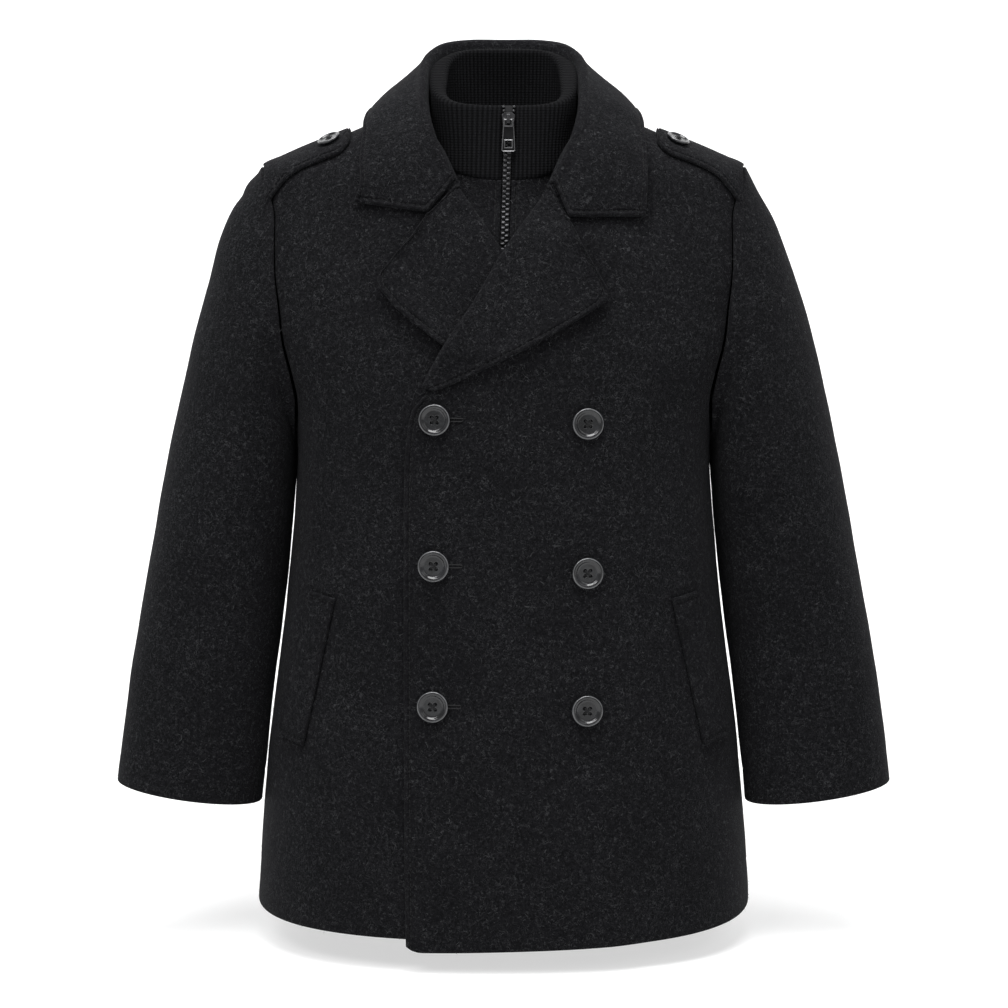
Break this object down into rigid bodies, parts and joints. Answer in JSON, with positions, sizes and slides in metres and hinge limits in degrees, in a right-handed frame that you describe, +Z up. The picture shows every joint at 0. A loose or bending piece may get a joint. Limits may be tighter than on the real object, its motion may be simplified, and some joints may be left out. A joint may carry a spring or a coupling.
{
  "type": "pea coat",
  "caption": "Double-breasted pea coat with turned-down collar, lapels, shoulder straps, slanted pockets and a zipped insert with a ribbed stand collar, hollow as worn.",
  "frame": {"origin": "between the neck points of the shoulder seams, on the middle plane, where the wearer's shoulders hold the coat", "axes": "+Z up, the front faces -Y, the wearer's left is +X"},
  "size_m": [0.5014, 0.2284, 0.5668],
  "materials": {
    "wool": "charcoal melange wool melton with pale kinked fibres, matt and slightly fuzzy",
    "rib_knit": "black fine rib knit, matt",
    "button": "dark grey horn look, polished",
    "zip_metal": "gunmetal, satin"
  },
  "bodies": {
    "coat": {"front_left": "wool", "front_right": "wool", "back": "wool", "sleeve_left": "wool", "sleeve_right": "wool", "lapel_left": "wool", "lapel_right": "wool", "collar": "wool", "epaulette_left": "wool", "epaulette_right": "wool", "pocket_welt_left": "wool", "pocket_welt_right": "wool", "bib_left": "wool", "bib_right": "wool", "rib_collar": "rib_knit", "zip_chain": "zip_metal", "zip_slider": "zip_metal", "shoulder_button_left": "button", "shoulder_button_right": "button", "front_button_1": "button", "front_button_2": "button", "front_button_3": "button", "front_button_4": "button", "front_button_5": "button", "front_button_6": "button"},
    "pull": {"zip_pull": "zip_metal"}
  },
  "joints": [
    {"name": "pull_swing", "type": "hinge", "parent": "coat", "child": "pull", "pos_m": [0.00301, -0.05021, -0.00307], "axis": [-1, 0, 0], "range_deg": [0, 160]}
  ]
}
